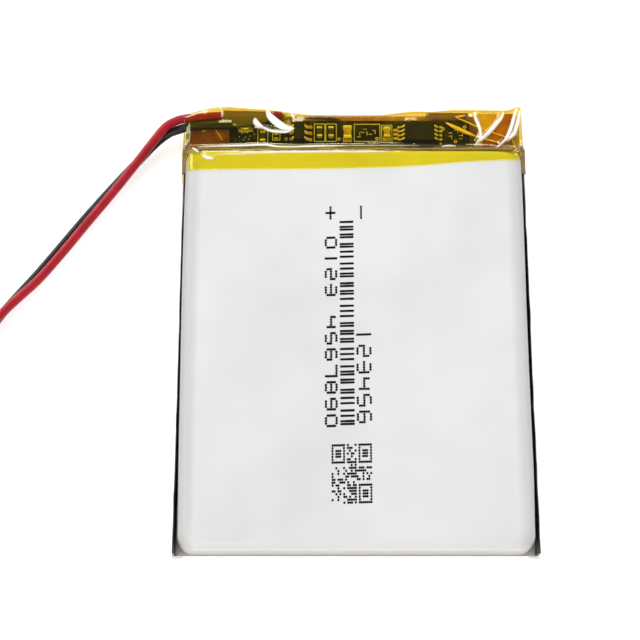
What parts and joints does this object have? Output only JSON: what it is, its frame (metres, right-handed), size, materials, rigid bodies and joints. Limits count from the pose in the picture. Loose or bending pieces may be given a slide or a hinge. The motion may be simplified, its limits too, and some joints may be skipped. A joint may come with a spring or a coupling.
{
  "type": "pouch battery cell",
  "caption": "Flat rectangular lithium pouch cell with a film-wrapped protection board on its sealed end and a red and black lead pair to a small plug.",
  "frame": {"origin": "centre of the cell's footprint without its leads, at its lowest point, where it lies on its back", "axes": "+Z through the thickness towards the formed front, +Y along the length towards the end with the board, +X to the right seen from the front"},
  "size_m": [0.0848, 0.0981, 0.0061],
  "materials": {
    "laminate": "silver-white aluminium laminate with a satin nylon face",
    "separator": "microporous white film",
    "anode": "copper foil coated with graphite",
    "cathode": "aluminium foil coated with dark oxide",
    "tape": "green polyester tape",
    "aluminium_tab": "bright rolled strip",
    "nickel": "rolled nickel strip",
    "sealant": "translucent polypropylene",
    "film": "clear glossy amber polyimide film",
    "foam": "white foam pad",
    "board": "dark green solder mask with pale print and gold pads",
    "chip": "black moulding compound with tinned legs",
    "resistor": "dark glaze with tinned ends",
    "capacitor": "tan ceramic with tinned ends",
    "solder": "bright solder",
    "red_insulation": "satin red wire insulation",
    "black_insulation": "satin black wire insulation",
    "nylon": "natural nylon",
    "contact": "tinned contact",
    "ink": "black dot-printed ink"
  },
  "bodies": {
    "root": {"anode_winding": "anode", "black_lead": "black_insulation", "black_lead_core": "solder", "board_pad": "foam", "capacitor_1": "capacitor", "capacitor_2": "capacitor", "cathode_winding": "cathode", "connector_housing": "nylon", "mosfet_chip": "chip", "negative_contact": "contact", "negative_tab": "nickel", "negative_tab_seal": "sealant", "negative_tab_tape": "tape", "negative_weld_plate": "nickel", "pcm_board": "board", "positive_contact": "contact", "positive_tab": "aluminium_tab", "positive_tab_seal": "sealant", "positive_tab_tape": "tape", "positive_weld_plate": "nickel", "pouch_back_sheet": "laminate", "pouch_cup": "laminate", "protection_chip": "chip", "red_lead": "red_insulation", "red_lead_core": "solder", "resistor_1": "resistor", "resistor_2": "resistor", "resistor_3": "resistor", "separator_inner": "separator", "separator_outer": "separator", "solder_negative": "solder", "solder_positive": "solder", "terrace_tape": "film", "winding_tape": "tape", "wrap_film": "film"}
  },
  "joints": []
}
